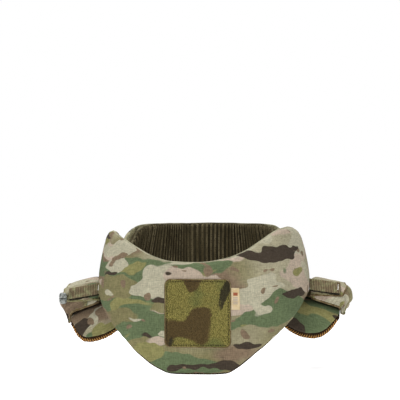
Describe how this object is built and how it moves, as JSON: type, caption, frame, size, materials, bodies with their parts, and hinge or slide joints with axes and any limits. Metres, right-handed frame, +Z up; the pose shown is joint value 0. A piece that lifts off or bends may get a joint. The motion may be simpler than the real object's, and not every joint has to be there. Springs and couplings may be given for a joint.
{
  "type": "tactical neck protector",
  "caption": "Soft armour neck protector: curved throat bib, standing rear collar with ribbed liner, and padded shoulder lobes with cloth sleeves for a vest's straps.",
  "frame": {"origin": "middle of the wearer's neck, level with the shoulders", "axes": "+Z up along the neck, -Y to the front, +X to the wearer's left"},
  "size_m": [0.363, 0.2225, 0.1775],
  "materials": {
    "camo_cloth": null,
    "loop_pile": "fuzzy loop pile",
    "label_cloth": "plain woven tag",
    "spacer_mesh": "ribbed spacer mesh",
    "brown_mesh": "brown knitted mesh",
    "webbing": "ribbed woven webbing",
    "hook_tape": "hook-and-loop tape",
    "grey_plastic": "mottled grey plastic"
  },
  "bodies": {
    "root": {"throat_bib": "camo_cloth", "loop_patch": "loop_pile", "side_label": "label_cloth", "rear_collar": "camo_cloth", "collar_liner": "spacer_mesh", "closure_tab_right": "hook_tape", "shoulder_pad_right": "camo_cloth", "pad_liner_right": "brown_mesh", "strap_sleeve_right": "camo_cloth", "sleeve_flap_right": "camo_cloth", "webbing_band_right": "webbing", "closure_tab_left": "hook_tape", "shoulder_pad_left": "camo_cloth", "pad_liner_left": "brown_mesh", "strap_sleeve_left": "camo_cloth", "sleeve_flap_left": "camo_cloth", "webbing_band_left": "webbing", "strap_slider": "grey_plastic"}
  },
  "joints": []
}
